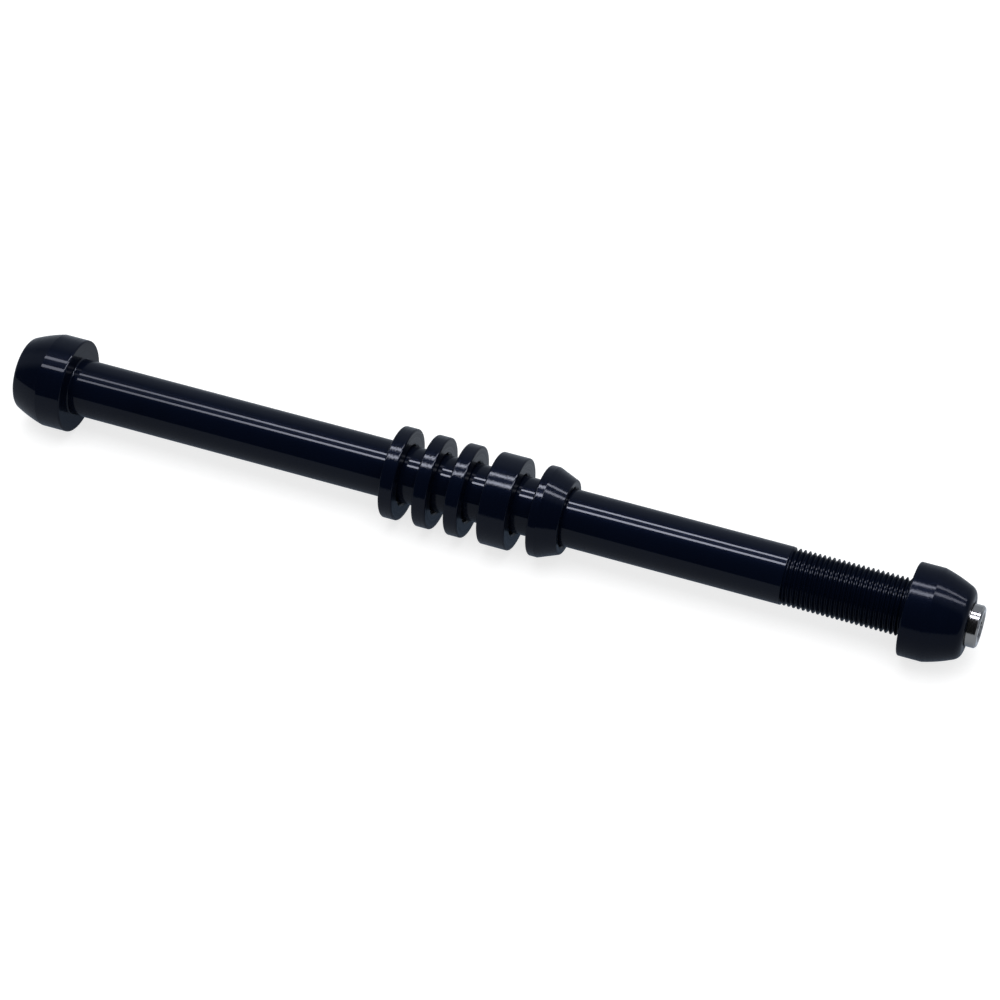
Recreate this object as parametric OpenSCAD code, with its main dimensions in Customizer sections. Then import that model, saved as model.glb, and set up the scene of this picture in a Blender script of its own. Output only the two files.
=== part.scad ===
// Thru axle adapter that lets a bicycle frame with 12 mm dropouts sit in the cups of a trainer.
// One turned axle carries three thin spacers, a wide spacer and a conical washer, all loose on
// its shank, and a domed lock nut with a pressed steel key insert closes the threaded end.
// The axle lies along Y, as a wheel axle does. The origin is on its centre line in the plane of
// the shoulder that bears on the frame. The head is at +Y, the lock nut at -Y, up is +Z.
// Every turned form is drawn along its own Z, which points from the shoulder to the nut.

/* [Axle] */
// Diameter of the plain shank that fills the frame's 12 mm dropouts
shank_d = 12; // [11:0.1:12.4]
// Length of the plain shank, from the shoulder to the first groove of the thread
shank_length = 155.8; // [145:0.1:165]
// How much the crests of the thread stand below the shank, on the diameter
thread_undersize = 0.15; // [0.1:0.01:0.3]
// Pitch of the thread
thread_pitch = 1; // [0.75:0.25:1.5]
// Length of the threaded end, from the shank to the tip
thread_length = 31.6; // [29:0.1:33]
// Bevel on the tip of the thread
tip_bevel = 0.9; // [0.4:0.1:1.2]
// Fillet where the shank meets the shoulder
root_fillet = 0.3; // [0.1:0.05:0.4]

/* [Head] */
// Diameter of the head's band, which the trainer's cup holds
head_d = 19.8; // [19:0.1:20.6]
// Length of that band
head_band = 5.5; // [4:0.1:6.5]
// Length of the whole head, from the shoulder to the flat end
head_length = 12.1; // [11.4:0.1:14]
// Diameter at which the crowned flank would meet the flat end, before the edge is rounded
head_end_d = 14.8; // [14:0.1:16]
// Radius of the edge between the crown and the flat end
head_end_round = 1.3; // [0.8:0.1:1.8]
// Hexagon key that turns the axle, across flats
head_key = 6; // [5:0.5:7]
// Depth of the hexagon in the head
head_key_depth = 6; // [4:0.5:7]

/* [Lock nut] */
// Diameter of the nut's band
nut_d = 19.2; // [18.4:0.1:20.6]
// Length of that band
nut_band = 5; // [4:0.1:6]
// Length of the whole nut
nut_length = 12.3; // [12:0.1:14]
// Diameter at which the nut's crown would meet its flat end, before the edge is rounded
nut_end_d = 13.7; // [13.3:0.1:15]
// Radius of the edge between the crown and the nut's flat end
nut_end_round = 2.2; // [1.4:0.1:2.3]
// Depth of the nut's blind thread
nut_thread_depth = 8.6; // [8.4:0.1:9]
// How far the axle's thread is screwed into the nut, as the nut stands now
engaged = 6.6; // [4:0.1:8]

/* [Key insert] */
// Diameter of the steel insert pressed into the nut's end
insert_d = 8.7; // [8:0.1:9]
// How far it stands out of the nut
insert_out = 2.3; // [2:0.1:3]
// Hexagon key that turns the nut, across flats
insert_key = 5; // [4:0.5:5]
// Depth of that hexagon
insert_key_depth = 4; // [3:0.1:4]
// Bevel on the insert's rim
insert_bevel = 0.4; // [0.2:0.05:0.6]

/* [Spacers] */
// Diameter of the flat spacers
spacer_d = 19.4; // [18.4:0.1:20.4]
// Thickness of a thin spacer
thin_t = 3; // [2:0.1:3.6]
// Thickness of the wide spacer
wide_t = 6; // [5:0.1:7]
// Bore of the flat spacers, loose on the shank
spacer_bore = 12.8; // [12.8:0.1:13.4]
// Rounding of the spacers' outer edges
spacer_round = 0.35; // [0.1:0.05:0.5]
// Bevel at both mouths of every bore
bore_bevel = 0.35; // [0.3:0.05:0.6]
// How far a loose flat spacer hangs below the centre line
spacer_drop = 0.2; // [0.1:0.05:0.2]
// Distance from the shoulder to the first thin spacer
first_at = 71.5; // [1:0.1:90]
// Gap between the first and the second thin spacer
gap_1 = 4.3; // [0.3:0.1:6]
// Gap between the second and the third thin spacer
gap_2 = 3.9; // [0.3:0.1:6]
// Gap between the third thin spacer and the wide spacer
gap_3 = 4.2; // [0.3:0.1:6]
// Gap between the wide spacer and the conical washer
gap_4 = 4.5; // [0.3:0.1:6]

/* [Conical washer] */
// Diameter of the washer's band
cone_d = 19; // [18:0.1:19.4]
// Diameter of its small end, before the edge is rounded
cone_end_d = 15.6; // [15:0.1:16.4]
// Length of its band
cone_band = 1.8; // [1:0.1:2.5]
// Length of the whole washer
cone_length = 6.1; // [5:0.1:7]
// Bore of the washer, closer on the shank than the flat spacers
cone_bore = 12.5; // [12.5:0.1:13]
// How far the washer hangs below the centre line
cone_drop = 0.1; // [0:0.05:0.1]

/* [Hidden] */
$fn = 96;
// Overlap that joins shapes of one solid, and overrun that clears a cut
lap = 0.5;
// Radius of the slight crown on the head and on the nut
crown_r = 30;
// Running clearance between the thread's crests and the nut, on the radius
thread_gap = 0.06;
// Clearance of the pressed insert, on the radius, so that two solids never share a face
press_gap = 0.01;
// Rounding of the turned outer edges at the two bearing faces
shoulder_round = 0.35;
// Bevel at the mouth of the nut's thread and around the insert
nut_bevel = 0.5;
// Bevel at the mouth of the head's hexagon, on the radius beyond the hexagon's corners
key_bevel = 0.3;
// Share of the pitch that is flat at a crest and at a root, and the thread's depth per pitch
crest_flat = 0.125;
root_flat = 0.167;
depth_ratio = 0.6134;
// Half of a drill's point angle, for the pilot under each hexagon
drill_half_angle = 59;
pilot_share = 0.97;
shank_r = shank_d / 2;
crest_r = shank_r - thread_undersize / 2;
root_r = crest_r - depth_ratio * thread_pitch;
tip_at = shank_length + thread_length;
groove_count = floor((thread_length - tip_bevel) / thread_pitch);
nut_at = tip_at - engaged;
insert_at = nut_at + nut_thread_depth;
second_at = first_at + thin_t + gap_1;
third_at = second_at + thin_t + gap_2;
wide_at = third_at + thin_t + gap_3;
cone_at = wide_at + wide_t + gap_4;

black = [0.07, 0.07, 0.09];
steel = [0.78, 0.79, 0.80];

// Turns a form drawn along Z so that it runs from the shoulder toward -Y
module along_axle(at = 0, drop = 0) {
    translate([0, -at, -drop])
        rotate([90, 0, 0])
            children();
}

// Centre of a circle of the given radius through p and q, on the side of the centre line
function arc_centre(p, q, radius) =
    let (
        half = (q - p) / 2,
        reach = sqrt(radius * radius - half * half),
        inward = [-half[1], half[0]] / norm(half)
    )
    (p + q) / 2 + reach * inward;

// Waste outside a rounded corner at [r, z]; side and end are +1 or -1 toward the waste
module corner_waste(r, z, radius, end) {
    translate([r - radius, z - end * radius])
        difference() {
            polygon([
                [0, 0], [0, end * (radius + lap)],
                [radius + lap, end * (radius + lap)], [radius + lap, 0]
            ]);
            circle(radius);
        }
}

// Half section of a turned end: a band, a slightly crowned flank and a flat end with a round
// edge. The bearing face is at z = 0 and the form grows toward +z.
module end_profile(d, band, length, end_d, end_round) {
    p = [d / 2, band];
    q = [end_d / 2, length];
    centre = arc_centre(p, q, crown_r);
    round_z = length - end_round;
    round_r = centre[0] + sqrt(pow(crown_r - end_round, 2) - pow(round_z - centre[1], 2));
    out = ([round_r, round_z] - centre) / norm([round_r, round_z] - centre);
    reach = 2 * end_round;
    difference() {
        intersection() {
            square([d / 2, length]);
            union() {
                square([d / 2, band]);
                translate(centre)
                    circle(crown_r, $fn = 360);
            }
        }
        corner_waste(d / 2, 0, shoulder_round, -1);
        difference() {
            polygon([
                [round_r, round_z],
                [round_r, round_z] + reach * out,
                [round_r + reach, length + reach],
                [round_r, length + reach]
            ]);
            translate([round_r, round_z])
                circle(end_round);
        }
    }
}

// Outline of the threaded end, grooved at the thread's pitch, with a beveled tip
function thread_outline() =
    let (
        flank = (1 - crest_flat - root_flat) / 2,
        steps = [0, root_flat, root_flat + flank, root_flat + flank + crest_flat],
        radii = [root_r, root_r, crest_r, crest_r]
    )
    concat(
        [[0, shank_length - lap], [crest_r, shank_length - lap], [crest_r, shank_length - lap / 2]],
        [
            for (groove = [0:groove_count - 1])
                for (i = [0:3])
                    [radii[i], shank_length + (groove + steps[i]) * thread_pitch]
        ],
        [
            [root_r, shank_length + groove_count * thread_pitch],
            [root_r, tip_at - tip_bevel],
            [root_r - tip_bevel, tip_at],
            [0, tip_at]
        ]
    );

// Cutter for a hexagon key: the hexagon, its drilled pilot with a pointed bottom, and a
// beveled mouth. The mouth is at z = 0 and the cutter goes down to -depth.
module key_cutter(key, depth, pilot_extra) {
    corner_r = key / sqrt(3);
    pilot_r = pilot_share * key / 2;
    pilot_depth = depth + pilot_extra;
    point = pilot_r / tan(drill_half_angle);
    translate([0, 0, -depth])
        linear_extrude(depth + lap)
            circle(corner_r, $fn = 6);
    rotate_extrude()
        polygon([
            [0, -pilot_depth - point], [pilot_r, -pilot_depth],
            [pilot_r, -key_bevel], [corner_r, -key_bevel],
            [corner_r + key_bevel, 0], [corner_r + key_bevel, lap], [0, lap]
        ]);
}

// A turned ring: half section between the bore and the outside, beveled at both bore mouths
module ring(bore, length) {
    rotate_extrude()
        difference() {
            children();
            translate([0, -lap])
                square([bore / 2, length + 2 * lap]);
            polygon([
                [0, -lap], [bore / 2 + bore_bevel + lap, -lap], [bore / 2, bore_bevel],
                [0, bore_bevel]
            ]);
            polygon([
                [0, length + lap], [bore / 2 + bore_bevel + lap, length + lap],
                [bore / 2, length - bore_bevel], [0, length - bore_bevel]
            ]);
        }
}

// Axle: head, shank and threaded end turned from one bar
module axle() {
    color(black)
        along_axle()
            difference() {
                union() {
                    mirror([0, 0, 1])
                        rotate_extrude()
                            end_profile(head_d, head_band, head_length, head_end_d, head_end_round);
                    translate([0, 0, -lap])
                        cylinder(h = shank_length + lap, r = shank_r);
                    rotate_extrude()
                        difference() {
                            translate([shank_r - lap, -lap])
                                square([lap + root_fillet, lap + root_fillet]);
                            translate([shank_r + root_fillet, root_fillet])
                                circle(root_fillet);
                        }
                    rotate_extrude()
                        polygon(thread_outline());
                }
                translate([0, 0, -head_length])
                    mirror([0, 0, 1])
                        key_cutter(head_key, head_key_depth, 1);
            }
}

// Flat spacer with rounded outer edges
module flat_spacer(length) {
    color(black)
        ring(spacer_bore, length)
            difference() {
                square([spacer_d / 2, length]);
                corner_waste(spacer_d / 2, 0, spacer_round, -1);
                corner_waste(spacer_d / 2, length, spacer_round, 1);
            }
}

module thin_spacer_1() {
    along_axle(first_at, spacer_drop)
        flat_spacer(thin_t);
}

module thin_spacer_2() {
    along_axle(second_at, spacer_drop)
        flat_spacer(thin_t);
}

module thin_spacer_3() {
    along_axle(third_at, spacer_drop)
        flat_spacer(thin_t);
}

module wide_spacer() {
    along_axle(wide_at, spacer_drop)
        flat_spacer(wide_t);
}

// Conical washer: a narrow band, then a taper that centres it in a beveled dropout
module conical_washer() {
    color(black)
        along_axle(cone_at, cone_drop)
            ring(cone_bore, cone_length)
                difference() {
                    polygon([
                        [0, 0], [cone_d / 2, 0], [cone_d / 2, cone_band],
                        [cone_end_d / 2, cone_length], [0, cone_length]
                    ]);
                    corner_waste(cone_d / 2, 0, spacer_round, -1);
                    corner_waste(cone_end_d / 2, cone_length, spacer_round, 1);
                }
}

// Lock nut: blind thread from the bearing face, and a hole through the crown for the insert
module lock_nut() {
    hole_r = insert_d / 2 + press_gap;
    color(black)
        along_axle(nut_at)
            difference() {
                rotate_extrude()
                    end_profile(nut_d, nut_band, nut_length, nut_end_d, nut_end_round);
                rotate_extrude()
                    polygon([
                        [0, -lap], [crest_r + thread_gap + nut_bevel + lap, -lap],
                        [crest_r + thread_gap, nut_bevel],
                        [crest_r + thread_gap, nut_thread_depth],
                        [hole_r, nut_thread_depth],
                        [hole_r, nut_length - nut_bevel],
                        [hole_r + nut_bevel + lap, nut_length + lap], [0, nut_length + lap]
                    ]);
            }
}

// Steel insert: a beveled plug with a hexagon socket in its outer face
module key_insert() {
    length = nut_length - nut_thread_depth + insert_out;
    radius = insert_d / 2;
    color(steel)
        along_axle(insert_at)
            difference() {
                rotate_extrude()
                    polygon([
                        [0, 0], [radius - insert_bevel, 0], [radius, insert_bevel],
                        [radius, length - insert_bevel], [radius - insert_bevel, length],
                        [0, length]
                    ]);
                translate([0, 0, length])
                    key_cutter(insert_key, insert_key_depth, 0);
            }
}

axle();
thin_spacer_1();
thin_spacer_2();
thin_spacer_3();
wide_spacer();
conical_washer();
lock_nut();
key_insert();
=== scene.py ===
# %% [markdown]
# Thru axle trainer adapter
#
# A bicycle on a wheel-on trainer is held by the two ends of its rear axle. This turned 12 mm
# axle takes the place of the bicycle's own: a domed head and a domed lock nut sit in the cups
# of the trainer, and loose spacers and a conical washer fill the room between frame and ends.
#
# The CAD model is loaded first, as a fixed frame. Everything made here stands in that frame,
# in metres: the axle lies along Y, its head at +Y, and the shoulder under the head is y = 0.

# %% The frame
import math

import bmesh
import bpy
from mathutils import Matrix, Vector


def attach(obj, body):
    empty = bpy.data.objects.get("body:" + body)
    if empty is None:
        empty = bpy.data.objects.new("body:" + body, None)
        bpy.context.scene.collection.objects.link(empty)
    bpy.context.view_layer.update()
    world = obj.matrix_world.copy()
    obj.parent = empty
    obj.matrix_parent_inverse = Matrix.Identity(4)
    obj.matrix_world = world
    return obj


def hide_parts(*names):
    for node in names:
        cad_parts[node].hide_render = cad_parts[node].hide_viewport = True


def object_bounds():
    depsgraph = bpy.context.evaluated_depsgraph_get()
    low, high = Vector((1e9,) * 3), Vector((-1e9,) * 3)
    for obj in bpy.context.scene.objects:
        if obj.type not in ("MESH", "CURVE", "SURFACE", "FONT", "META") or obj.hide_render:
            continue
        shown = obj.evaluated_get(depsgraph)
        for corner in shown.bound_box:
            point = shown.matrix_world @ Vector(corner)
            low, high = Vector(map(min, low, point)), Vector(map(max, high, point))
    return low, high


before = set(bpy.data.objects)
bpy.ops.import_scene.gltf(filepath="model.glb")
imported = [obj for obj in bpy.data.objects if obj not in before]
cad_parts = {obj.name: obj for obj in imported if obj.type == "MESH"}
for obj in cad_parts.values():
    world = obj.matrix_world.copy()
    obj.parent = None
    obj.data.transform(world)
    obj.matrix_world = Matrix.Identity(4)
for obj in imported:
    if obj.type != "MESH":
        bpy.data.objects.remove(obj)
cad_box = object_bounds()

# %% [markdown]
# Three small helpers serve the whole file. Sizes are written in millimetres, as on a drawing,
# and colours as the hex values that a colour picker shows. Blender works in metres and in
# linear light, so both are turned once, in one place. The third adds a node to any tree, with
# its settings and with what goes into its sockets, so that a tree reads from top to bottom.

# %% Units, colours and nodes
MM = 0.001


def linear(hex_colour):
    """An sRGB hex colour as the linear values that a shader mixes"""
    values = [int(hex_colour[i:i + 2], 16) / 255 for i in (1, 3, 5)]
    return [v / 12.92 if v <= 0.04045 else ((v + 0.055) / 1.055) ** 2.4 for v in values] + [1.0]


def add_node(tree, kind, inputs=(), **settings):
    """A new node; inputs come in order or by name, each a node or socket to link, or a value"""
    node = tree.nodes.new(kind)
    for name, value in settings.items():
        setattr(node, name, value)
    pairs = inputs.items() if isinstance(inputs, dict) else enumerate(inputs)
    for key, value in pairs:
        if isinstance(value, bpy.types.Node):
            value = value.outputs[0]
        if isinstance(value, bpy.types.NodeSocket):
            tree.links.new(value, node.inputs[key])
        else:
            node.inputs[key].default_value = value
    return node


print("a mid grey of #808080 is", round(linear("#808080")[0], 3), "in linear light")

# %% [markdown]
# The camera comes early, because every later choice is judged through it. It looks down on
# the axle from the side of the lock nut, with a long lens, so the head end is a little smaller
# than the nut end. The lens, the distance and the angles were found from the taper of the
# shank, the ellipses of the ends and the spacing of the thread's crests.

# %% The camera
LOOK_AT = Vector((0, -94.6 * MM, -0.33 * MM))
CAMERA_AZIMUTH = math.radians(-69.6)
CAMERA_ELEVATION = math.radians(46.0)
CAMERA_DISTANCE = 672.8 * MM
SENSOR_WIDTH = 36
LENS = 118.8

camera = bpy.data.objects.new("camera", bpy.data.cameras.new("camera"))
bpy.context.scene.collection.objects.link(camera)
camera.data.sensor_width = SENSOR_WIDTH
camera.data.lens = LENS
camera.data.clip_start = 0.01
camera.data.clip_end = 20
toward_camera = Vector((
    math.sin(CAMERA_AZIMUTH) * math.cos(CAMERA_ELEVATION),
    -math.cos(CAMERA_AZIMUTH) * math.cos(CAMERA_ELEVATION),
    math.sin(CAMERA_ELEVATION),
))
camera.rotation_euler = (-toward_camera).to_track_quat("-Z", "Y").to_euler()
camera.location = LOOK_AT + CAMERA_DISTANCE * toward_camera
bpy.context.scene.camera = camera
bpy.context.scene.view_settings.view_transform = "Standard"
print("camera at", [round(v, 3) for v in camera.location])

# %% [markdown]
# Gloss black shows nothing of its own, only the room around it. Two thin lines run the whole
# length of the axle, side by side, and on the tapers they bend toward the nut. Two strip lamps
# do that, hung half a metre above the axle and turned 22.6 degrees out of its line, so the
# lines drift across it from one end to the other. Their height and their turn were found by
# following the view back from the lines on the shank, the bands and the tapers. They reach
# further past the nut than past the head, because the crown of the head shows no line. Their
# light is a little cool, as that of a studio tube.
#
# A strip that is bright enough to show as a line in black would flood a pale table, so the
# strips are seen in reflections only, and one large soft lamp, which reflections don't see,
# gives matt surfaces their light and the table its soft shadow.

# %% The lamps
STRIPS_ACROSS = {"near_strip": 0.044, "far_strip": 0.243}
STRIPS_ALONG = -0.235
STRIPS_UP = 0.5
STRIP_COLOUR = "#EAEEFF"
# share of full light along a strip, from its nut end to its head end
GLOW = [(0.0, 0.5), (0.35, 0.55), (0.62, 0.92), (0.78, 1.0), (0.9, 0.4), (1.0, 0.35)]


def area_lamp(name, place, width, length, radiance, turn=0):
    """A rectangular lamp that looks down, turned round the vertical by so many degrees"""
    lamp = bpy.data.objects.new(name, bpy.data.lights.new(name, "AREA"))
    lamp.data.shape = "RECTANGLE"
    lamp.data.size = width
    lamp.data.size_y = length
    lamp.data.energy = radiance * 4 * width * length
    lamp.location = place
    lamp.rotation_euler = (0, 0, math.radians(turn))
    bpy.context.scene.collection.objects.link(lamp)
    print(name, round(lamp.data.energy, 1), "W")
    return lamp


for name, across in STRIPS_ACROSS.items():
    place = (across, STRIPS_ALONG, STRIPS_UP)
    strip = area_lamp(name, place, width=0.056, length=1.1, radiance=25, turn=22.6)
    strip.data.color = linear(STRIP_COLOUR)[:3]
    strip.visible_diffuse = False
    strip.data.use_nodes = True
    tree = strip.data.node_tree
    on_lamp = add_node(tree, "ShaderNodeNewGeometry").outputs["Parametric"]
    sides = add_node(tree, "ShaderNodeSeparateXYZ", (on_lamp,))
    glow = add_node(tree, "ShaderNodeValToRGB", (sides.outputs["Y"],))
    for at, share in GLOW[1:-1]:
        glow.color_ramp.elements.new(at)
    for element, (at, share) in zip(glow.color_ramp.elements, GLOW):
        element.position = at
        element.color = (share, share, share, 1)
    tree.links.new(glow.outputs["Color"], tree.nodes["Emission"].inputs["Strength"])

soft = area_lamp("soft_box", (0, -0.09, 1.3), width=1.2, length=1.2, radiance=2.1)
soft.visible_glossy = False
soft.visible_transmission = False

# %% [markdown]
# The rest of the room is the world. A camera sees it white, as the page of a catalogue. Metal
# sees a studio: pale behind the object and overhead, and dark on the camera's side, and
# that dark is the black core along the middle of the shank. Matt surfaces get an even light
# from it, which keeps the shadows faint.

# %% The world
EVEN_LIGHT = 0.6
# what metal sees, from the camera's side at 0, over the top at 0.5, to behind the object at 1
ROOM = [
    (0.00, "#1C1F23"), (0.38, "#26292E"), (0.50, "#ACB6C6"), (0.62, "#ACB6C6"),
    (0.74, "#7C8492"), (0.88, "#B4BECE"), (1.00, "#B4BECE"),
]

world = bpy.data.worlds.new("studio")
bpy.context.scene.world = world
world.use_nodes = True
tree = world.node_tree
tree.nodes.clear()
path = add_node(tree, "ShaderNodeLightPath").outputs
direction = add_node(tree, "ShaderNodeTexCoord").outputs["Generated"]
axes = add_node(tree, "ShaderNodeSeparateXYZ", (direction,)).outputs
across = add_node(tree, "ShaderNodeMapRange", {"Value": axes["X"], "From Min": -1.0})
room = add_node(tree, "ShaderNodeValToRGB", (across,))
for at, colour in ROOM[1:-1]:
    room.color_ramp.elements.new(at)
for element, (at, colour) in zip(room.color_ramp.elements, ROOM):
    element.position = at
    element.color = linear(colour)
in_metal = add_node(tree, "ShaderNodeMath", (
    path["Is Glossy Ray"], path["Is Transmission Ray"],
), operation="MAXIMUM")
even = add_node(tree, "ShaderNodeBackground", {"Color": (1, 1, 1, 1), "Strength": EVEN_LIGHT})
studio = add_node(tree, "ShaderNodeBackground", {"Color": room})
white = add_node(tree, "ShaderNodeBackground", {"Color": (1, 1, 1, 1), "Strength": 1.0})
metal_sees = add_node(tree, "ShaderNodeMixShader", (in_metal, even, studio))
camera_sees = add_node(tree, "ShaderNodeMixShader", (path["Is Camera Ray"], metal_sees, white))
add_node(tree, "ShaderNodeOutputWorld", {"Surface": camera_sees})
print("room:", len(room.color_ramp.elements), "shades round the object")

# %% [markdown]
# The table is one plain sheet under the lowest point of the object, so large that its edge
# doesn't show.

# %% The table
TABLE_SIZE = 8

lowest = cad_box[0][2]
half = TABLE_SIZE / 2
table_mesh = bpy.data.meshes.new("table")
table_mesh.from_pydata(
    [(-half, -half, lowest), (half, -half, lowest), (half, half, lowest), (-half, half, lowest)],
    [], [(0, 1, 2, 3)],
)
table = bpy.data.objects.new("table", table_mesh)
bpy.context.scene.collection.objects.link(table)
print("table at", round(lowest / MM, 2), "mm")

# %% [markdown]
# The sheet is matt card of a pale grey, which takes a soft shadow. A little light of its own
# brings it up to the white of the page without putting more light on the object, because only
# the camera and reflections see it. A reflection sees less of it, and a bluer white, as it
# does of the room.

# %% Matt pale card
CARD_COLOUR = "#ABACAD"
LIFT_TO_CAMERA = 0.72
LIFT_IN_METAL = 0.27
# a Mix node has sockets for every kind of data, and these are its share and those for colours
MIX_SHARE, MIX_FIRST, MIX_SECOND, MIX_RESULT = 0, 6, 7, 2

card = bpy.data.materials.new("matt_pale_card")
card.use_nodes = True
tree = card.node_tree
tree.nodes.clear()
path = add_node(tree, "ShaderNodeLightPath").outputs
matt = add_node(tree, "ShaderNodeBsdfDiffuse", {"Color": linear(CARD_COLOUR)})
in_metal = add_node(tree, "ShaderNodeMath", (
    path["Is Glossy Ray"], path["Is Transmission Ray"],
), operation="MAXIMUM")
lift = add_node(tree, "ShaderNodeMath", (in_metal, LIFT_IN_METAL), operation="MULTIPLY")
lift = add_node(tree, "ShaderNodeMath", (
    path["Is Camera Ray"], LIFT_TO_CAMERA, lift,
), operation="MULTIPLY_ADD")
tint = add_node(tree, "ShaderNodeMix", {
    MIX_SHARE: in_metal, MIX_FIRST: linear("#FFFFFF"), MIX_SECOND: linear("#B7D6FF"),
}, data_type="RGBA")
own = add_node(tree, "ShaderNodeEmission", {"Color": tint.outputs[MIX_RESULT], "Strength": lift})
both = add_node(tree, "ShaderNodeAddShader", (matt, own))
add_node(tree, "ShaderNodeOutputMaterial", {"Surface": both})
table_mesh.materials.append(card)
print("card:", len(tree.nodes), "nodes")

# %% [markdown]
# The lathe leaves rings that follow the axis. A noise that is read only along the axle and
# outward from it can't change round the axis, so it draws rings on shanks and faces alike.
# Real rings stand about 0.15 mm apart, too fine to show from here. They are drawn 0.4 mm apart
# and deeper in proportion, which keeps their slopes. Each spacer hangs a little below the axle,
# and its rings are drawn round its own axis.

# %% The rings of the lathe
RING_SPACING = 0.4 * MM


def lathe_rings(tree, drop):
    """Height of the rings: a noise of the place along the axis and the distance from it"""
    place = add_node(tree, "ShaderNodeTexCoord").outputs["Object"]
    parts = add_node(tree, "ShaderNodeSeparateXYZ", (place,)).outputs
    up = add_node(tree, "ShaderNodeMath", (parts["Z"], drop), operation="ADD")
    spoke = add_node(tree, "ShaderNodeCombineXYZ", {"X": parts["X"], "Z": up})
    radius = add_node(tree, "ShaderNodeVectorMath", (spoke,), operation="LENGTH")
    pair = add_node(tree, "ShaderNodeCombineXYZ", (parts["Y"], radius.outputs["Value"]))
    return add_node(tree, "ShaderNodeTexNoise", {
        "Vector": pair, "Scale": 1 / RING_SPACING, "Detail": 3.0, "Roughness": 0.6,
    }, noise_dimensions="2D")


print("rings of the lathe:", round(RING_SPACING / MM, 2), "mm apart")

# %% [markdown]
# Gloss black anodised aluminium. The part is turned, polished and grown a thin clear oxide that
# drinks black dye. What is left is a navy so dark that it hardly shows, a weak wide haze from
# the pores, and over it the clear polished skin. The dye takes a little unevenly, in clouds
# about 9 mm across. The skin is the shader's coat. Its weight is low, because the pores break
# up most of what a smooth varnish would mirror.
#
# The shank is polished best and the flat spacers least. Etching leaves a fine peel on the less
# polished pieces, with its dimples 0.6 mm apart, and rings and peel together make the edges of
# a reflection ragged.

# %% Gloss black anodised aluminium
PEEL_SPACING = 0.6 * MM
CLOUD_SPACING = 9 * MM
NOISE_LOW = 0.3
NOISE_HIGH = 0.7
# each finish: how far its axis hangs, weight and softness of its skin, depth of its rings and
# of its peel in thousandths of a millimetre
FINISHES = {
    "axle": (0.0, 0.29, 0.06, 1.5, 0.5),
    "thread": (0.0, 0.14, 0.15, 0.9, 0.5),
    "lock_nut": (0.0, 0.19, 0.11, 16.0, 7.0),
    "flat_spacer": (0.2 * MM, 0.30, 0.08, 22.0, 9.0),
    "conical_washer": (0.1 * MM, 0.28, 0.08, 16.0, 6.0),
}


def black_anodised(name, drop, weight, softness, ring_depth, peel_depth):
    """The gloss black of one kind of piece, with its own polish"""
    material = bpy.data.materials.new(name)
    material.use_nodes = True
    tree = material.node_tree
    shader = tree.nodes["Principled BSDF"]
    shader.inputs["Metallic"].default_value = 0.0
    shader.inputs["IOR"].default_value = 1.6
    shader.inputs["Specular IOR Level"].default_value = 0.015
    shader.inputs["Specular Tint"].default_value = linear("#8FA6FF")
    shader.inputs["Coat Weight"].default_value = weight
    shader.inputs["Coat Roughness"].default_value = softness
    shader.inputs["Coat IOR"].default_value = 1.5
    rings = lathe_rings(tree, drop)
    place = add_node(tree, "ShaderNodeTexCoord").outputs["Object"]
    clouds = add_node(tree, "ShaderNodeTexNoise", {
        "Vector": place, "Scale": 1 / CLOUD_SPACING, "Detail": 2.0,
    })
    colour = add_node(tree, "ShaderNodeMix", {
        MIX_SHARE: clouds, MIX_FIRST: linear("#030610"), MIX_SECOND: linear("#040917"),
    }, data_type="RGBA")
    haze = add_node(tree, "ShaderNodeMapRange", {
        "Value": rings, "From Min": NOISE_LOW, "From Max": NOISE_HIGH,
        "To Min": 0.28, "To Max": 0.42,
    })
    peel = add_node(tree, "ShaderNodeTexNoise", {
        "Vector": place, "Scale": 1 / PEEL_SPACING, "Detail": 1.0,
    })
    relief = add_node(tree, "ShaderNodeMath", (
        peel, peel_depth / ring_depth, rings,
    ), operation="MULTIPLY_ADD")
    bump = add_node(tree, "ShaderNodeBump", {
        "Height": relief, "Distance": ring_depth * 0.001 * MM, "Strength": 1.0,
    })
    tree.links.new(colour.outputs[MIX_RESULT], shader.inputs["Base Color"])
    tree.links.new(haze.outputs["Result"], shader.inputs["Roughness"])
    tree.links.new(bump.outputs["Normal"], shader.inputs["Normal"])
    tree.links.new(bump.outputs["Normal"], shader.inputs["Coat Normal"])
    return material


blacks = {part: black_anodised("black_anodised_" + part, *finish)
          for part, finish in FINISHES.items()}
print("materials:", [m.name for m in blacks.values()])

# %% [markdown]
# Bright nickel plated steel. The key insert is turned from bar and plated, harder and paler
# than the aluminium around it. It mirrors the room in bold bands, white, black and grey, a
# little softened by the fine rings of the tool.

# %% Bright nickel plated steel
STEEL_RING_DEPTH = 0.0012 * MM

steel = bpy.data.materials.new("nickel_plated_steel")
steel.use_nodes = True
tree = steel.node_tree
shader = tree.nodes["Principled BSDF"]
shader.inputs["Metallic"].default_value = 1.0
shader.inputs["Base Color"].default_value = linear("#93908B")
rings = lathe_rings(tree, 0.0)
gloss = add_node(tree, "ShaderNodeMapRange", {
    "Value": rings, "From Min": NOISE_LOW, "From Max": NOISE_HIGH, "To Min": 0.10, "To Max": 0.18,
})
bump = add_node(tree, "ShaderNodeBump", {
    "Height": rings, "Distance": STEEL_RING_DEPTH, "Strength": 1.0,
})
tree.links.new(gloss.outputs["Result"], shader.inputs["Roughness"])
tree.links.new(bump.outputs["Normal"], shader.inputs["Normal"])
print("material:", steel.name)

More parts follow.
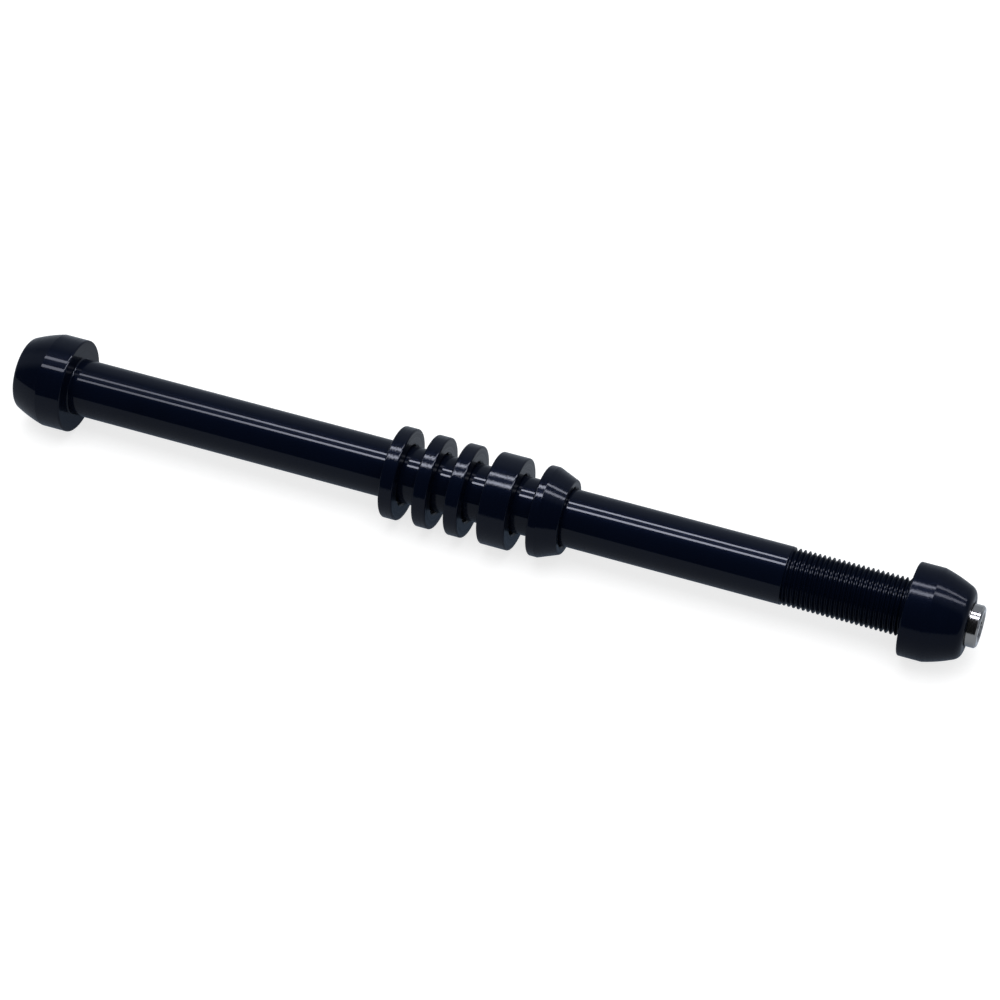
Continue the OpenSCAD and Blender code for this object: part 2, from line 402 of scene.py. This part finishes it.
# %% [markdown]
# A lathe makes a shape by its half section: the outline from the centre line to the outside.
# Here a section is a list of stations, each one a place along the axle from the shoulder toward
# the nut, a radius, and how far that corner is rounded. No real corner is sharp, and the small
# rounds are what catches the light. This helper turns stations into points. Beside each round
# it leaves a second point close by, so that the smooth shading of the round doesn't leak into
# the straight next to it.

# %% Half sections
ROUND_STEP = 9
SPARE_SHARE = 0.3


def arc(centre, start, end, steps):
    """Points of the shorter arc about a centre, from one spoke to the other"""
    first = math.atan2(start.y, start.x)
    sweep = math.remainder(math.atan2(end.y, end.x) - first, 2 * math.pi)
    angles = [first + sweep * step / steps for step in range(steps + 1)]
    return [centre + start.length * Vector((math.cos(a), math.sin(a))) for a in angles]


def half_section(stations, closed=False):
    """Points (along, radius) in mm, with every corner rounded by its own radius"""
    points = []
    last = len(stations) - 1
    for i, (along, radius, rounding) in enumerate(stations):
        corner = Vector((along, radius))
        if rounding == 0 or (not closed and i in (0, last)):
            points.append(corner)
            continue
        back = Vector(stations[i - 1][:2]) - corner
        on = Vector(stations[(i + 1) % len(stations)][:2]) - corner
        half_angle = back.angle(on) / 2
        setback = rounding / math.tan(half_angle)
        centre = corner + (back.normalized() + on.normalized()).normalized() * (
            rounding / math.sin(half_angle))
        start = corner + setback * back.normalized() - centre
        end = corner + setback * on.normalized() - centre
        spare = SPARE_SHARE * rounding
        steps = max(3, math.ceil(math.degrees(math.pi - 2 * half_angle) / ROUND_STEP))
        points.append(centre + start + spare * back.normalized())
        points += arc(centre, start, end, steps)
        points.append(centre + end + spare * on.normalized())
    if closed:
        points.append(points[0])
    return points


sample = half_section([(0, 2, 0), (2, 2, 0.5), (2, 0, 0)])
print("a square corner with its round:", len(sample) - 2, "points")

# %% [markdown]
# Geometry Nodes do the turning. Two trees are needed, one for plain turned forms and one for
# the thread, and they begin and end alike. A flat grid is wrapped round the axis, lowered where
# the piece hangs on the shank, and welded at its seam and its poles. Then it is shaded smooth,
# apart from edges that bend by more than 32 degrees, and it gets its material.

# %% How each tree begins and ends
PI = math.pi
WELD_WITHIN = 0.0005 * MM
CREASE_OVER = 32


def new_tree(name, sizes):
    """An empty Geometry Nodes tree with named inputs and one geometry output"""
    tree = bpy.data.node_groups.new(name, "GeometryNodeTree")
    tree.interface.new_socket("Section", in_out="INPUT", socket_type="NodeSocketGeometry")
    for label, kind in sizes.items():
        tree.interface.new_socket(label, in_out="INPUT", socket_type="NodeSocket" + kind)
    tree.interface.new_socket("Piece", in_out="OUTPUT", socket_type="NodeSocketGeometry")
    return tree, add_node(tree, "NodeGroupInput").outputs


def wrap_and_finish(tree, sizes, grid, angle, along, radius):
    """Wraps the grid round the axis, welds it, shades it and gives it its material"""
    cosine = add_node(tree, "ShaderNodeMath", (angle,), operation="COSINE")
    sine = add_node(tree, "ShaderNodeMath", (angle,), operation="SINE")
    x = add_node(tree, "ShaderNodeMath", (radius, cosine), operation="MULTIPLY")
    z = add_node(tree, "ShaderNodeMath", (radius, sine), operation="MULTIPLY")
    y = add_node(tree, "ShaderNodeMath", (along, -1.0), operation="MULTIPLY")
    place = add_node(tree, "ShaderNodeCombineXYZ", (x, y, z))
    lowered = add_node(tree, "ShaderNodeVectorMath", (place, sizes["Hang"]), operation="SUBTRACT")
    wrapped = add_node(tree, "GeometryNodeSetPosition", {"Geometry": grid, "Position": lowered})
    welded = add_node(tree, "GeometryNodeMergeByDistance", {
        "Geometry": wrapped, "Distance": WELD_WITHIN,
    })
    smooth = add_node(tree, "GeometryNodeSetShadeSmooth", {"Geometry": welded})
    bend = add_node(tree, "GeometryNodeInputMeshEdgeAngle").outputs["Unsigned Angle"]
    sharp = add_node(tree, "ShaderNodeMath", (
        bend, math.radians(CREASE_OVER),
    ), operation="GREATER_THAN")
    creased = add_node(tree, "GeometryNodeSetShadeSmooth", {
        "Geometry": smooth, "Selection": sharp, "Shade Smooth": False,
    }, domain="EDGE")
    real = add_node(tree, "GeometryNodeRealizeInstances", {"Geometry": creased})
    done = add_node(tree, "GeometryNodeSetMaterial", {
        "Geometry": real, "Material": sizes["Material"],
    })
    add_node(tree, "NodeGroupOutput", {"Piece": done})


print("welded within", WELD_WITHIN / MM, "mm, creased over", CREASE_OVER, "degrees")

# %% [markdown]
# The lathe lays out a grid with one row for each point of the section and one column for each
# step round the axis. A row may be marked as a hexagon: its radius then follows the six flats
# of a key socket, and a row marked as the mouth sinks where the cone of the countersink meets
# those flats. So one tree makes turned forms and broached sockets.

# %% The lathe
lathe, sizes = new_tree("lathe", {"Steps round": "Int", "Hang": "Vector", "Material": "Material"})
section = sizes["Section"]
rows = add_node(lathe, "GeometryNodeAttributeDomainSize", (section,)).outputs["Point Count"]
columns = add_node(lathe, "ShaderNodeMath", (sizes["Steps round"], 1.0), operation="ADD")
grid = add_node(lathe, "GeometryNodeMeshGrid", {"Vertices X": columns, "Vertices Y": rows})
index = add_node(lathe, "GeometryNodeInputIndex")
row = add_node(lathe, "FunctionNodeIntegerMath", (index, rows), operation="MODULO")
column = add_node(lathe, "FunctionNodeIntegerMath", (index, rows), operation="DIVIDE_FLOOR")
step = add_node(lathe, "ShaderNodeMath", (2 * PI, sizes["Steps round"]), operation="DIVIDE")
angle = add_node(lathe, "ShaderNodeMath", (column, step), operation="MULTIPLY")
position = add_node(lathe, "GeometryNodeInputPosition")
station = add_node(lathe, "GeometryNodeSampleIndex", {
    "Geometry": section, "Index": row, "Value": position,
}, data_type="FLOAT_VECTOR")
station = add_node(lathe, "ShaderNodeSeparateXYZ", (station,)).outputs
marks = []
for mark in ("flats", "lean"):
    stored = add_node(lathe, "GeometryNodeInputNamedAttribute", {"Name": mark}, data_type="FLOAT")
    marks.append(add_node(lathe, "GeometryNodeSampleIndex", {
        "Geometry": section, "Index": row, "Value": stored,
    }, data_type="FLOAT"))
flats, lean = marks
sector = add_node(lathe, "ShaderNodeMath", (angle, PI / 6, -PI / 6), operation="WRAP")
slope = add_node(lathe, "ShaderNodeMath", (sector,), operation="COSINE")
hexagon = add_node(lathe, "ShaderNodeMath", (flats, slope), operation="DIVIDE")
has_flats = add_node(lathe, "ShaderNodeMath", (flats, 0.0), operation="GREATER_THAN")
radius = add_node(lathe, "GeometryNodeSwitch", {
    "Switch": has_flats, "False": station["Y"], "True": hexagon,
}, input_type="FLOAT")
short_of = add_node(lathe, "ShaderNodeMath", (station["Y"], hexagon), operation="SUBTRACT")
sink = add_node(lathe, "ShaderNodeMath", (lean, short_of), operation="MULTIPLY")
along = add_node(lathe, "ShaderNodeMath", (station["X"], sink), operation="ADD")
wrap_and_finish(lathe, sizes, grid, angle, along, radius)
print("lathe tree:", len(lathe.nodes), "nodes")

# %% [markdown]
# A modifier with that tree sits on an object whose own mesh is just the points of the section.
# The result is taken off as a plain mesh, its faces are turned outward, and the new piece
# rides on its body and stands for its CAD node.

# %% From a section to a piece
STEPS_ROUND = 192
NO_HANG = (0.0, 0.0, 0.0)


def section_mesh(name, points, flats=None, lean=None, unit=MM):
    """The points of a section as a mesh, with a mark for each point that is a hexagon"""
    mesh = bpy.data.meshes.new(name)
    mesh.from_pydata([(along * unit, radius * unit, 0) for along, radius in points], [], [])
    for mark, values in (("flats", flats or {}), ("lean", lean or {})):
        attribute = mesh.attributes.new(mark, "FLOAT", "POINT")
        for i in range(len(points)):
            attribute.data[i].value = values.get(i, 0.0)
    return mesh


def make_piece(name, mesh, tree, values, body, node):
    """Runs the tree on the section and puts the result in the frame"""
    blank = bpy.data.objects.new(name + "_blank", mesh)
    bpy.context.scene.collection.objects.link(blank)
    modifier = blank.modifiers.new(tree.name, "NODES")
    modifier.node_group = tree
    for socket in tree.interface.items_tree:
        if socket.in_out == "INPUT" and socket.name in values:
            modifier[socket.identifier] = values[socket.name]
    ready = blank.evaluated_get(bpy.context.evaluated_depsgraph_get())
    result = bpy.data.meshes.new_from_object(ready)
    bpy.data.objects.remove(blank)
    work = bmesh.new()
    work.from_mesh(result)
    bmesh.ops.recalc_face_normals(work, faces=work.faces)
    open_edges = sum(not e.is_manifold for e in work.edges)
    work.to_mesh(result)
    work.free()
    result.name = name
    piece = bpy.data.objects.new(name, result)
    bpy.context.scene.collection.objects.link(piece)
    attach(piece, body)
    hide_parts(node)
    triangles = sum(len(p.vertices) - 2 for p in result.polygons)
    print(name, triangles, "triangles,", open_edges, "open edges")


print("one turn of the lathe:", STEPS_ROUND, "steps of", 360 / STEPS_ROUND, "degrees")

# %% [markdown]
# Head and lock nut share one form: a short straight band that the trainer's cup holds, a very
# slightly crowned flank, and a flat end with a rounded edge. The crown is an arc of 30 mm, far
# from a cone and far from a ball. The rounded edge has to touch both the crown and the flat end
# without a kink, or the two lines of light would jump there. Its centre stands one rounding
# behind the end, and as far from the centre of the crown as the difference of their radii.

# %% The crowned end
CROWN_RADIUS = 30
CROWN_STEPS = 14
ROUNDING_STEPS = 10


def crowned_end(band, band_radius, length, end_radius, rounding):
    """Stations of the crown and of the rounded edge, from the band to the flat end"""
    start, end = Vector((band, band_radius)), Vector((length, end_radius))
    chord = end - start
    rise = math.sqrt(CROWN_RADIUS ** 2 - (chord.length / 2) ** 2)
    crown_centre = (start + end) / 2 + rise * Vector((chord.y, -chord.x)).normalized()
    reach = CROWN_RADIUS - rounding
    behind = length - rounding
    outward = math.sqrt(reach ** 2 - (behind - crown_centre.x) ** 2)
    edge_centre = Vector((behind, crown_centre.y + outward))
    touch = (edge_centre - crown_centre).normalized()
    crown = arc(crown_centre, start - crown_centre, CROWN_RADIUS * touch, CROWN_STEPS)
    edge = arc(edge_centre, rounding * touch, Vector((rounding, 0)), ROUNDING_STEPS)
    return [(*point, 0) for point in crown[1:] + edge[1:]]


print("a crowned end takes", CROWN_STEPS + ROUNDING_STEPS, "stations")

# %% [markdown]
# A hexagon socket is drilled first and then broached. The drill is a little smaller than the
# key, so that the broach cuts all six flats, and it leaves its cone at the bottom. In the head
# it also goes deeper than the broach, to take the chips. A small cone at the mouth leads the
# key in.

# %% A hexagon socket
DRILL_HALF_ANGLE = 59
PILOT_SHARE = 0.97
KEY_MOUTH = 0.3


def key_socket(key, depth, pilot_extra):
    """Stations from the drilled point out to the mouth, as depths below the face, with marks"""
    pilot = PILOT_SHARE * key / 2
    corner = key / math.sqrt(3)
    point = pilot / math.tan(math.radians(DRILL_HALF_ANGLE))
    stations = [(depth + pilot_extra + point, 0.0, 0), (depth + pilot_extra, pilot, 0)]
    if pilot_extra > 0:
        stations += [(depth, pilot, 0)]
    flats = {len(stations): key / 2 * MM, len(stations) + 1: key / 2 * MM}
    lean = {len(stations) + 1: 1.0}
    mouth = corner + KEY_MOUTH
    stations += [(depth, corner, 0), (0.0, mouth, 0), (0.0, mouth, 0)]
    return stations, flats, lean


print("a 6 mm key is", round(2 * 6 / math.sqrt(3), 2), "mm over its corners")

# %% [markdown]
# The axle is turned from one bar: the head with its hexagon socket, the shoulder with a small
# fillet at its root, and the plain 12 mm shank. The head points toward +Y, so its stations
# are mirrored. The list starts at the bottom of the socket and ends inside the thread.

# %% The head and the shank
SHANK_RADIUS = 6.0
SHANK_LENGTH = 155.8
ROOT_FILLET = 0.3
HEAD_RADIUS = 9.9
HEAD_LENGTH = 12.1
HEAD_BAND = 5.5
HEAD_END_RADIUS = 7.4
HEAD_END_ROUNDING = 1.3
HEAD_FACE_RING = 4.4
HEAD_KEY = 6.0
HEAD_KEY_DEPTH = 6.0
HEAD_PILOT_EXTRA = 1.0
RIM_ROUNDING = 0.35
SMALL_ROUNDING = 0.12

key_stations, flats, lean = key_socket(HEAD_KEY, HEAD_KEY_DEPTH, HEAD_PILOT_EXTRA)
inner = [(-(HEAD_LENGTH - depth), radius, 0) for depth, radius, _ in key_stations]
crown = crowned_end(HEAD_BAND, HEAD_RADIUS, HEAD_LENGTH, HEAD_END_RADIUS, HEAD_END_ROUNDING)
outer = [(-HEAD_LENGTH, HEAD_FACE_RING, 0)]
outer += [(-along, radius, 0) for along, radius, _ in reversed(crown)]
outer += [
    (-HEAD_BAND, HEAD_RADIUS, SMALL_ROUNDING), (0, HEAD_RADIUS, RIM_ROUNDING),
    (0, SHANK_RADIUS, ROOT_FILLET),
    (SHANK_LENGTH, SHANK_RADIUS, SMALL_ROUNDING), (SHANK_LENGTH, 0, 0),
]
points = [station[:2] for station in inner] + half_section([inner[-1]] + outer)[1:]
make_piece("axle_head_and_shank", section_mesh("axle_section", points, flats, lean), lathe, {
    "Steps round": STEPS_ROUND, "Hang": NO_HANG, "Material": blacks["axle"],
}, "axle", "axle")

# %% [markdown]
# The threaded end is M12 x 1, right hand. Drawn as plain rings it would look wrong at once: the
# crests of a real thread lean, and one side of the outline is half a pitch behind the other.
# This tree wraps a grid too, but each row climbs one pitch for each turn round the axis. The
# rows begin two turns before the start of the thread, and those that lie before its start or
# past its end are pressed flat there.

# %% The thread's rows
TURNS_BEFORE = 2.0

thread, sizes = new_tree("screw_thread", {
    "Steps round": "Int", "Turns": "Int", "Pitch": "Float", "Crest radius": "Float",
    "Root radius": "Float", "Crest flat": "Float", "Root flat": "Float", "Start": "Float",
    "End": "Float", "Bevel": "Float", "Lead in": "Float", "Hang": "Vector", "Material": "Material",
})
form = sizes["Section"]
form_rows = add_node(thread, "GeometryNodeAttributeDomainSize", (form,)).outputs["Point Count"]
rows = add_node(thread, "FunctionNodeIntegerMath", (
    form_rows, sizes["Turns"],
), operation="MULTIPLY")
columns = add_node(thread, "ShaderNodeMath", (sizes["Steps round"], 1.0), operation="ADD")
grid = add_node(thread, "GeometryNodeMeshGrid", {"Vertices X": columns, "Vertices Y": rows})
index = add_node(thread, "GeometryNodeInputIndex")
row = add_node(thread, "FunctionNodeIntegerMath", (index, rows), operation="MODULO")
column = add_node(thread, "FunctionNodeIntegerMath", (index, rows), operation="DIVIDE_FLOOR")
turn = add_node(thread, "FunctionNodeIntegerMath", (row, form_rows), operation="DIVIDE_FLOOR")
form_row = add_node(thread, "FunctionNodeIntegerMath", (row, form_rows), operation="MODULO")
share_round = add_node(thread, "ShaderNodeMath", (
    column, sizes["Steps round"],
), operation="DIVIDE")
angle = add_node(thread, "ShaderNodeMath", (share_round, 2 * PI), operation="MULTIPLY")
position = add_node(thread, "GeometryNodeInputPosition")
share = add_node(thread, "GeometryNodeSampleIndex", {
    "Geometry": form, "Index": form_row, "Value": position,
}, data_type="FLOAT_VECTOR")
share = add_node(thread, "ShaderNodeSeparateXYZ", (share,)).outputs["X"]
climb = add_node(thread, "ShaderNodeMath", (turn, share), operation="ADD")
climb = add_node(thread, "ShaderNodeMath", (climb, share_round), operation="ADD")
climb = add_node(thread, "ShaderNodeMath", (climb, TURNS_BEFORE), operation="SUBTRACT")
origin = add_node(thread, "ShaderNodeMath", (
    sizes["Lead in"], sizes["Pitch"], sizes["Start"],
), operation="MULTIPLY_ADD")
along = add_node(thread, "ShaderNodeMath", (
    climb, sizes["Pitch"], origin,
), operation="MULTIPLY_ADD")
along = add_node(thread, "ShaderNodeMath", (along, sizes["Start"]), operation="MAXIMUM")
along = add_node(thread, "ShaderNodeMath", (along, sizes["End"]), operation="MINIMUM")
print("rows of the thread:", len(thread.nodes), "nodes")

# %% [markdown]
# The radius of every point comes from where it stands in the thread's form: flat crest, flank,
# flat root. Where the tool left the metal, the groove runs out over a short cone, and the tip
# has a bevel. The first row and the last are drawn in to the axis, which closes both ends.

# %% The thread's form
turns_in = add_node(thread, "ShaderNodeMath", (along, origin), operation="SUBTRACT")
turns_in = add_node(thread, "ShaderNodeMath", (turns_in, sizes["Pitch"]), operation="DIVIDE")
phase = add_node(thread, "ShaderNodeMath", (turns_in, share_round), operation="SUBTRACT")
phase = add_node(thread, "ShaderNodeMath", (phase, TURNS_BEFORE), operation="ADD")
phase = add_node(thread, "ShaderNodeMath", (phase,), operation="FRACT")
from_root = add_node(thread, "ShaderNodeMath", (phase, 0.5), operation="SUBTRACT")
from_root = add_node(thread, "ShaderNodeMath", (from_root,), operation="ABSOLUTE")
from_root = add_node(thread, "ShaderNodeMath", (from_root, 2.0), operation="MULTIPLY")
crest_from = add_node(thread, "ShaderNodeMath", (1.0, sizes["Crest flat"]), operation="SUBTRACT")
radius = add_node(thread, "ShaderNodeMapRange", {
    "Value": from_root, "From Min": sizes["Root flat"], "From Max": crest_from,
    "To Min": sizes["Root radius"], "To Max": sizes["Crest radius"],
})
run_out = add_node(thread, "ShaderNodeMath", (
    sizes["Crest radius"], sizes["Start"],
), operation="ADD")
run_out = add_node(thread, "ShaderNodeMath", (run_out, along), operation="SUBTRACT")
radius = add_node(thread, "ShaderNodeMath", (radius, run_out), operation="MAXIMUM")
tip = add_node(thread, "ShaderNodeMath", (
    sizes["Root radius"], sizes["Bevel"],
), operation="SUBTRACT")
tip = add_node(thread, "ShaderNodeMath", (tip, sizes["End"]), operation="ADD")
tip = add_node(thread, "ShaderNodeMath", (tip, along), operation="SUBTRACT")
radius = add_node(thread, "ShaderNodeMath", (radius, tip), operation="MINIMUM")
past_first = add_node(thread, "ShaderNodeMath", (row, 0.0), operation="GREATER_THAN")
last_row = add_node(thread, "ShaderNodeMath", (rows, 1.0), operation="SUBTRACT")
before_last = add_node(thread, "ShaderNodeMath", (row, last_row), operation="LESS_THAN")
radius = add_node(thread, "ShaderNodeMath", (radius, past_first), operation="MULTIPLY")
radius = add_node(thread, "ShaderNodeMath", (radius, before_last), operation="MULTIPLY")
wrap_and_finish(thread, sizes, grid, angle, along, radius)
print("thread tree:", len(thread.nodes), "nodes")

# %% [markdown]
# One pitch of the form takes only four points, where the crest ends, where the root begins and
# ends, and where the next crest begins. They are given in shares of a pitch. The thread starts
# a little inside the shank, so that no gap shows between the two.

# %% The threaded end
PITCH = 1
THREAD_LENGTH = 31.6
THREAD_OVERLAP = 0.2
CREST_RADIUS = 5.925
ROOT_RADIUS = 5.3116
CREST_FLAT = 0.125
ROOT_FLAT = 0.167
TIP_BEVEL = 0.9

form = section_mesh("thread_form", [
    (CREST_FLAT / 2, 0), (0.5 - ROOT_FLAT / 2, 0),
    (0.5 + ROOT_FLAT / 2, 0), (1 - CREST_FLAT / 2, 0),
], unit=1)
make_piece("axle_thread", form, thread, {
    "Steps round": 128, "Turns": 36, "Pitch": PITCH * MM, "Crest radius": CREST_RADIUS * MM,
    "Root radius": ROOT_RADIUS * MM, "Crest flat": CREST_FLAT, "Root flat": ROOT_FLAT,
    "Start": (SHANK_LENGTH - THREAD_OVERLAP) * MM, "End": (SHANK_LENGTH + THREAD_LENGTH) * MM,
    "Bevel": TIP_BEVEL * MM, "Lead in": 0.3, "Hang": NO_HANG, "Material": blacks["thread"],
}, "axle", "axle")

# %% [markdown]
# The spacers are rings with rounded outer edges and beveled bores, three thin and one twice as
# thick. They are loose on the shank, so each hangs a little below the centre line.

# %% The flat spacers
SPACER_RADIUS = 9.7
SPACER_BORE = 6.4
SPACER_HANG = (0.0, 0.0, 0.2 * MM)
BORE_BEVEL = 0.35
FINE_ROUNDING = 0.06
# each spacer: where its near face stands, and its thickness
SPACERS = {
    "thin_spacer_1": (71.5, 3.0), "thin_spacer_2": (78.8, 3.0),
    "thin_spacer_3": (85.7, 3.0), "wide_spacer": (92.9, 6.0),
}


def bore_stations(at, thickness, bore):
    """The bore side of a ring's section, from its far face to its near face"""
    far = at + thickness
    return [
        (far, bore + BORE_BEVEL, FINE_ROUNDING), (far - BORE_BEVEL, bore, FINE_ROUNDING),
        (at + BORE_BEVEL, bore, FINE_ROUNDING), (at, bore + BORE_BEVEL, FINE_ROUNDING),
    ]


for name, (at, thickness) in SPACERS.items():
    stations = [(at, SPACER_RADIUS, RIM_ROUNDING), (at + thickness, SPACER_RADIUS, RIM_ROUNDING)]
    stations += bore_stations(at, thickness, SPACER_BORE)
    mesh = section_mesh(name + "_section", half_section(stations, closed=True))
    make_piece(name + "_ring", mesh, lathe, {
        "Steps round": STEPS_ROUND, "Hang": SPACER_HANG, "Material": blacks["flat_spacer"],
    }, name, name)

# %% [markdown]
# The conical washer has a narrow band and then a straight taper toward the nut. The taper
# centres it in the beveled mouth of a dropout.

# %% The conical washer
WASHER_AT = 103.4
WASHER_LENGTH = 6.1
WASHER_RADIUS = 9.5
WASHER_BAND = 1.8
WASHER_END_RADIUS = 7.8
WASHER_BORE = 6.25
WASHER_HANG = (0.0, 0.0, 0.1 * MM)

stations = [
    (WASHER_AT, WASHER_RADIUS, RIM_ROUNDING),
    (WASHER_AT + WASHER_BAND, WASHER_RADIUS, SMALL_ROUNDING),
    (WASHER_AT + WASHER_LENGTH, WASHER_END_RADIUS, RIM_ROUNDING),
]
stations += bore_stations(WASHER_AT, WASHER_LENGTH, WASHER_BORE)
mesh = section_mesh("conical_washer_section", half_section(stations, closed=True))
make_piece("conical_washer_ring", mesh, lathe, {
    "Steps round": STEPS_ROUND, "Hang": WASHER_HANG, "Material": blacks["conical_washer"],
}, "conical_washer", "conical_washer")

# %% [markdown]
# The lock nut has the same form as the head, a little more rounded at its end. A blind bore
# goes in from the bearing face, and a smaller hole through the crown holds the steel insert.
# The bore is left plain, because the thread inside it can't be seen.

# %% The lock nut
NUT_AT = 180.8
NUT_LENGTH = 12.3
NUT_RADIUS = 9.6
NUT_BAND = 5.0
NUT_END_RADIUS = 6.85
NUT_END_ROUNDING = 2.2
NUT_BORE = 5.985
NUT_BORE_DEPTH = 8.6
NUT_BEVEL = 0.5
HOLE_RADIUS = 4.36

bore_end = NUT_AT + NUT_BORE_DEPTH
nut_end = NUT_AT + NUT_LENGTH
crown = crowned_end(NUT_BAND, NUT_RADIUS, NUT_LENGTH, NUT_END_RADIUS, NUT_END_ROUNDING)
stations = [
    (NUT_AT, NUT_BORE + NUT_BEVEL, FINE_ROUNDING), (NUT_AT, NUT_RADIUS, RIM_ROUNDING),
    (NUT_AT + NUT_BAND, NUT_RADIUS, SMALL_ROUNDING),
]
stations += [(NUT_AT + along, radius, 0) for along, radius, _ in crown]
stations += [
    (nut_end, HOLE_RADIUS + NUT_BEVEL, FINE_ROUNDING),
    (nut_end - NUT_BEVEL, HOLE_RADIUS, FINE_ROUNDING), (bore_end, HOLE_RADIUS, 0),
    (bore_end, NUT_BORE, 0), (NUT_AT + NUT_BEVEL, NUT_BORE, FINE_ROUNDING),
]
mesh = section_mesh("lock_nut_section", half_section(stations, closed=True))
make_piece("lock_nut_body", mesh, lathe, {
    "Steps round": STEPS_ROUND, "Hang": NO_HANG, "Material": blacks["lock_nut"],
}, "lock_nut", "lock_nut")

# %% [markdown]
# The steel insert is pressed into that hole and stands out by a little over two millimetres.
# Its rim is beveled, and a hexagon socket in its face takes the key that tightens the nut. It
# faces the other way than the head's, so its mouth leans the other way too.

# %% The key insert
INSERT_RADIUS = 4.35
INSERT_OUT = 2.3
INSERT_BEVEL = 0.4
INSERT_ROUNDING = 0.08
INSERT_FOOT_ROUNDING = 0.1
INSERT_KEY = 5.0
INSERT_KEY_DEPTH = 4.0

insert_end = nut_end + INSERT_OUT
key_stations, flats, lean = key_socket(INSERT_KEY, INSERT_KEY_DEPTH, 0.0)
lean = {row: -value for row, value in lean.items()}
inner = [(insert_end - depth, radius, 0) for depth, radius, _ in key_stations]
outer = [
    (insert_end, INSERT_RADIUS - INSERT_BEVEL, INSERT_ROUNDING),
    (insert_end - INSERT_BEVEL, INSERT_RADIUS, INSERT_ROUNDING),
    (bore_end, INSERT_RADIUS, INSERT_FOOT_ROUNDING), (bore_end, 0, 0),
]
points = [station[:2] for station in inner] + half_section([inner[-1]] + outer)[1:]
make_piece("key_insert_plug", section_mesh("insert_section", points, flats, lean), lathe, {
    "Steps round": STEPS_ROUND, "Hang": NO_HANG, "Material": steel,
}, "lock_nut", "key_insert")

# %% [markdown]
# Last come the sizes.

# %% Sizes and the end
print("CAD box", [list(round(c, 5) for c in v) for v in cad_box])
